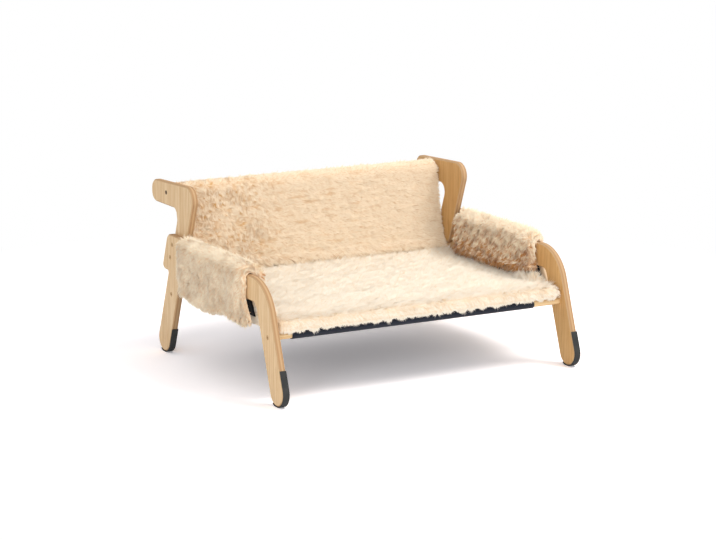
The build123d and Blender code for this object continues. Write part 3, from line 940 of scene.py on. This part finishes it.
def make_seat():
    low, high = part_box("seat_mat")

    def sideways(points, close, far=30 * MM):
        return near(np.abs(points[:, 0]), high.x, far, close)

    def nose(points):
        return near(-points[:, 1], -low.y, 30 * MM, 8 * MM)

    def rear(points):
        return near(points[:, 1], high.y, 30 * MM, 6 * MM)

    def gap(points):
        """Under the front ends of the arms, where the mat bulges and its fluff stands up."""
        along = smooth(-points[:, 1], 0.06, 0.14) * smooth(points[:, 1], -0.178, -0.162)
        return along * sideways(points, 14 * MM, 24 * MM)

    def flow(points, normals):
        """Combed to the right and back, forwards near the front, and out over the sides."""
        out = sideways(points, 0) * np.sign(points[:, 0])
        ahead = near(-points[:, 1], -low.y, 90 * MM, 10 * MM)
        main = np.stack([0.9 - 0.25 * ahead + out * 0.8, 0.2 - 0.6 * ahead, -0.8 * nose(points)], 1)
        return main + drifting(points, 0.05, 21, 0.2)

    def length(points, normals):
        """About 10 mm: shorter low on the nose, longer at the rear and beside the arms."""
        beside = sideways(points, 0, 25 * MM) * smooth(-points[:, 1], 0.05, 0.12)
        lower = nose(points) * near(-points[:, 2], -low.z, 16 * MM, 0)
        plain = 10 - 3.5 * lower + 4 * rear(points) + 2 * beside + 2 * gap(points)
        return (plain + 1.5 * field(points, 0.02, 71)) * MM

    def lift(points, normals):
        beside = sideways(points, 8 * MM) * smooth(-points[:, 1], 0.09, 0.13)
        return (0.12 + 0.5 * beside + 1.0 * gap(points)) * (1 - nose(points))

    def tone(points, normals):
        return smooth(field(points, 0.007, 72) + 0.5 * field(points, 0.004, 73), 0.4, 1.8) * 0.35

    def swell(points, normals):
        return 3 * MM * rear(points) + 9 * MM * gap(points) * smooth(normals[:, 2], 0.2, 0.8)

    def hanging(points, normals):
        return np.array([0, -0.3, -1.0]) + drifting(points, 0.02, 24, 0.25)

    def hanging_length(points, normals):
        """Uneven fringe that is shorter at the ends of the canvas."""
        ends = smooth(np.abs(points[:, 0] - middle("canvas_sling").x), 0.235, 0.25)
        return (5.5 - 2 * ends + 3 * field(points, 0.014, 70)) * MM

    skin, weight = make_skin("seat_mat_skin", "seat_mat", 3.5 * MM, 6 * MM, seat_pile_side, seat_pile,
                             0.6 * MM, 7 * MM, 11, swell)
    finish_plush(skin, "seat_mat")
    limit = kept_in(inner_face - 1.5 * MM)
    grow("seat_pile", skin, weight, SEAT_STRANDS, SEAT_WIDTH, seat_pile, "seat_plush", 31, limit, tone,
         0.16, pieces=5, length=length, flow=flow, clump=0.6, curl=0.9 * MM, tuft_share=0.14, lift=lift)
    spots = read(skin.data, "co")
    lower = weight * (nose(spots) > 0.5) * (spots[:, 2] < low.z + 12 * MM)
    grow("seat_fringe", skin, lower, FRINGE_STRANDS, SEAT_WIDTH, seat_pile, "seat_plush", 35, limit,
         length=hanging_length, flow=hanging, clump=0.8, curl=0.8 * MM, tuft_share=0.022,
         rise=(0.45, 0.0), droop=0.5)


def make_back():
    low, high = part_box("back_pad")
    post_face = -middle("back_post_left").x - panel / 2

    def curly(points):
        """1 at the left end, where the pile is tousled, to 0 where it is combed."""
        return 1 - smooth(points[:, 0], -0.17, -0.03)

    def over(points):
        return near(points[:, 2], high.z, 20 * MM, 4 * MM)

    def under(points):
        return near(-points[:, 2], -low.z, 25 * MM, 4 * MM)

    def flow(points, normals):
        """Combed to the right, hanging at the left, over the rail on top and out at the ends."""
        left = curly(points)[:, None]
        combed = np.array([1.0, 0, -0.2])
        hanging = np.array([0.4, 0, -0.8])
        crown = smooth(normals[:, 2], 0.3, 0.9)[:, None]
        main = combed * (1 - left) + hanging * left
        main = main * (1 - crown) + np.array([0.8, 0.6, 0]) * crown
        main = main + drifting(points, 0.06, 22, 0.35) * (0.5 + 1.5 * left)
        ends = near(np.abs(points[:, 0]), high.x, 20 * MM, 4 * MM) * np.sign(points[:, 0])
        main = main + np.array([1.5, 0, 0]) * ends[:, None]
        return main + np.array([0, 0, -1.6]) * under(points)[:, None]

    def length(points, normals):
        return (10 - 3 * over(points) + 6 * under(points) + 1.5 * field(points, 0.015, 74)) * MM

    def tone(points, normals):
        """Warm spots at the left, partly the pile's own tan and partly painted shade among the curls, and
        fainter level streaks that fade to the right, which is painted light; all paler on the top edge, a
        painted highlight.
        """
        # Partly the pile's own tan and partly painted shade among the curls.
        spots = smooth(field(points, 0.009, 75) + 0.7 * field(points, 0.005, 76), 0.1, 1.6)
        streak = smooth(field(points * (0.22, 1, 1), 0.011, 77), 0.2, 1.4)
        left = curly(points)
        # Painted light: the streaks fade out towards the right end, which the light falls on.
        lit_right = smooth(points[:, 0], 0.05, 0.2)
        warmth = left * spots * 0.7 + (1 - left) * streak * (0.4 - 0.3 * lit_right)
        # Painted highlight: less warmth along the top edge.
        return warmth * (1 - 0.6 * over(points))

    skin, weight = make_skin("back_pad_skin", "back_pad", 3 * MM, 4.5 * MM, back_pile_side, back_pile,
                             0.8 * MM, 9 * MM, 12, by(under, 0.0, 4 * MM))
    finish_plush(skin, "back_pad")
    limit = kept_in(post_face - 0.4 * MM)
    grow("back_pile", skin, weight, BACK_STRANDS, PLUSH_WIDTH, back_pile, "back_plush", 32, limit, tone,
         by(curly, 0.05, 0.2), pieces=4, length=length, flow=flow, clump=0.45, rise=(0.75, 0.2),
         curl=by(curly, 0.5 * MM, 1.3 * MM), swing=by(curly, 0.25, 0.9))


def make_arm(side):
    source = "arm_cover_" + side
    sign = -1 if side == "left" else 1
    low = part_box(source)[0]
    mat_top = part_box("seat_mat")[1].z

    def outside(points):
        """0 over the arm and inside of it, 1 on the flap outside."""
        return smooth(sign * points[:, 0], arm_x + 2 * MM, arm_x + 14 * MM)

    def hem(points):
        """Lowest centimetre and more of the long flap outside, or of the short one inside."""
        base = low.z * outside(points) + mat_top * (1 - outside(points))
        return 1 - smooth(points[:, 2], base + 4 * MM, base + 22 * MM)

    def ahead(points):
        return smooth(-points[:, 1], 0.118, 0.14)

    def crown_of(points):
        return smooth(points[:, 2], arm_top - 8 * MM, arm_top + 8 * MM)

    def flow(points, normals):
        """Hanging on both flaps, outwards and back over the crown, and forwards at the front end."""
        crown = smooth(normals[:, 2], 0.4, 0.9)[:, None]
        main = np.array([0, -0.1, -1.0]) * (1 - crown) + np.array([sign * 0.6, 0.7, 0]) * crown
        main = main + drifting(points, 0.05, 23, 0.4)
        return main + np.array([0, -0.5, 0]) * ahead(points)[:, None]

    def length(points, normals):
        """Shorter on the outer flap, and longer at the hems but for the inner one's front end."""
        crown = smooth(points[:, 2], arm_top, arm_top + 8 * MM)
        plain = 9.5 - 2.5 * outside(points) * (1 - crown)
        plain = plain + 3 * hem(points) * (1 - ahead(points) * (1 - 2 * outside(points)))
        return (plain + 1.2 * field(points, 0.015, 78)) * MM

    def tone(points, normals):
        """Painted shade: warmer and darker on the inner side, most of all low down towards the seat, with
        small curls; even outside, and little on the crown.
        """
        patches = smooth(field(points, 0.009, 79) + 0.7 * field(points, 0.005, 80), 0.0, 1.5)
        # Painted shade that deepens down the inner side towards the seat.
        depth = 1 - smooth(points[:, 2], mat_top + 5 * MM, arm_top - 5 * MM)
        inner = (1 - outside(points)) * (0.5 * patches + 0.75 * depth)
        return (inner + outside(points) * 0.19 * patches) * (1 - 0.9 * crown_of(points))

    def tuft_tone(points, normals):
        return (0.42 - 0.36 * outside(points)) * (1 - 0.78 * crown_of(points))

    def folds(points, normals):
        """Upright wrinkles ahead on the outer flap, full hems, and a crown that rounds off in front."""
        lower = 1 - smooth(points[:, 2], arm_top - 50 * MM, arm_top)
        front = 1 - smooth(points[:, 1], -0.06, 0.05)
        wave = field(points * (0, 1, 0.12), 0.022, 81)
        wrinkles = 1.2 * MM * wave * lower * (0.35 + 0.65 * front) * outside(points)
        crown = smooth(points[:, 2], arm_top - 2 * MM, arm_top + 8 * MM)
        end = smooth(-points[:, 1], 0.108, 0.142)
        rounded = NOSE_ROUND * (1 - np.sqrt(1 - 0.95 * end ** 2)) * crown
        return wrinkles + 4 * MM * hem(points) - rounded

    def limit(lines):
        """Strands stay out of the arm's wood."""
        off = lines[..., 0] - sign * arm_x
        room = panel / 2 + 0.6 * MM
        inside = (np.abs(off) < room) & (lines[..., 2] < arm_top)
        lines[..., 0] = np.where(inside, sign * arm_x + np.where(off < 0, -room, room), lines[..., 0])
        return lines

    skin, weight = make_skin(source + "_skin", source, 3 * MM, 5.5 * MM, arm_pile_side, arm_pile,
                             0.8 * MM, 9 * MM, 13, folds, rounds=8)
    if side == "right":
        spots = read(skin.data, "co")
        ends = smooth(-spots[:, 1], 0.09, 0.142) * smooth(spots[:, 0], arm_x - 2 * MM, arm_x + 10 * MM)
        spots[:, 1] += PULLED_BACK * ends * smooth(spots[:, 2], arm_top - 30 * MM, arm_top) * weight
        raised = smooth(-spots[:, 1], 0.06, 0.15) * (1 - smooth(spots[:, 2], mat_top, arm_base + 15 * MM))
        spots[:, 2] += HEM_LIFT * raised * (1 - smooth(spots[:, 0], arm_x, arm_x + 2 * MM))
        set_coordinates(skin.data, spots)
    finish_plush(skin, source)
    grow(source + "_pile", skin, weight, ARM_STRANDS, PLUSH_WIDTH, arm_pile, "arm_plush", 33, limit, tone,
         tuft_tone, pieces=2, split_by=1, length=length, flow=flow, clump=0.6, lift=0.15,
         curl=by(outside, 2.2 * MM, -1.5 * MM), swing=by(outside, 1.0, -0.6))


# Floor, light and camera
def emptied(owner):
    """The node tree of a material or world, without nodes."""
    owner.use_nodes = True
    owner.node_tree.nodes.clear()
    return owner.node_tree


def mix_shader(tree, factor, first, second):
    made = node(tree, "MixShader")
    for place, source in enumerate((factor, first, second)):
        tree.links.new(source, made.inputs[place])
    return made.outputs[0]


def seen_white(tree, plain, white):
    """The plain shader for light and shade, and the white one for what camera and reflections see."""
    path = node(tree, "LightPath").outputs
    seen = maths(tree, "MAXIMUM", path["Is Camera Ray"], path["Is Glossy Ray"])
    seen = maths(tree, "MAXIMUM", seen, path["Is Transmission Ray"])
    return mix_shader(tree, seen, plain, white)


def make_floor():
    """Pale floor that keeps the bed's shadow and fades to white away from it."""
    material = bpy.data.materials.new("floor")
    tree = emptied(material)
    out = node(tree, "OutputMaterial")
    bounce = node(tree, "BsdfDiffuse", Color=FLOOR_BOUNCE)
    pale = node(tree, "BsdfDiffuse", Color=FLOOR_TONE)
    glow = node(tree, "Emission", Strength=FLOOR_GLOW)
    white = node(tree, "Emission", Strength=1.0)
    lit = node(tree, "AddShader")
    tree.links.new(pale.outputs[0], lit.inputs[0])
    tree.links.new(glow.outputs[0], lit.inputs[1])
    length = node(tree, "VectorMath", operation="LENGTH")
    tree.links.new(place_of(tree), length.inputs[0])
    half = maths(tree, "MULTIPLY", length.outputs["Value"], 0.5)
    far = ramp(tree, half, [(FLOOR_FADE[0] / 2, BLACK), (FLOOR_FADE[1] / 2, WHITE)])
    faded = mix_shader(tree, far, lit.outputs[0], white.outputs[0])
    tree.links.new(seen_white(tree, bounce.outputs[0], faded), out.inputs[0])
    corners = np.array([(-1, -1, 0), (1, -1, 0), (1, 1, 0), (-1, 1, 0)]) * FLOOR_SIZE
    mesh_object("floor", corners, [np.array([[0, 1, 2, 3]])], material)


def make_world():
    world = bpy.data.worlds.new("studio")
    bpy.context.scene.world = world
    tree = emptied(world)
    out = node(tree, "OutputWorld")
    soft = node(tree, "Background", Color=WORLD_TONE, Strength=WORLD_LIGHT)
    white = node(tree, "Background", Color=WHITE, Strength=1.0)
    tree.links.new(seen_white(tree, soft.outputs[0], white.outputs[0]), out.inputs[0])


def area_light(name, at, aim, size, power, colour):
    light = bpy.data.lights.new(name, "AREA")
    light.shape = "RECTANGLE"
    light.size, light.size_y = size
    light.energy = power
    light.color = colour
    lamp = add_object(name, light)
    lamp.location = at
    lamp.rotation_euler = (Vector(aim) - Vector(at)).to_track_quat("-Z", "Y").to_euler()


def make_camera():
    data = bpy.data.cameras.new("camera")
    data.sensor_fit = "HORIZONTAL"
    data.sensor_width = SENSOR
    data.lens = FOCAL_PIXELS / IMAGE[0] * SENSOR
    data.clip_end = 100
    yaw, pitch, roll = (math.radians(v) for v in (CAMERA_YAW, CAMERA_PITCH, CAMERA_ROLL))
    level = math.cos(pitch)
    forward = Vector((math.sin(yaw) * level, math.cos(yaw) * level, -math.sin(pitch)))
    right = Vector((math.cos(yaw), -math.sin(yaw), 0))
    up = right.cross(forward)
    turned = math.cos(roll) * right + math.sin(roll) * up
    upright = math.cos(roll) * up - math.sin(roll) * right
    axes = Matrix((turned, upright, -forward)).transposed().to_4x4()
    thing = add_object("camera", data)
    thing.matrix_world = Matrix.Translation(CAMERA_AT) @ axes
    bpy.context.scene.camera = thing


make_sling()
make_seat()
make_back()
for side in ("left", "right"):
    make_arm(side)
for side in ("left", "right"):
    make_lining(side)
make_floor()
make_world()
for lamp in LAMPS:
    area_light(*lamp)
make_camera()
bpy.context.scene.view_settings.view_transform = "Standard"
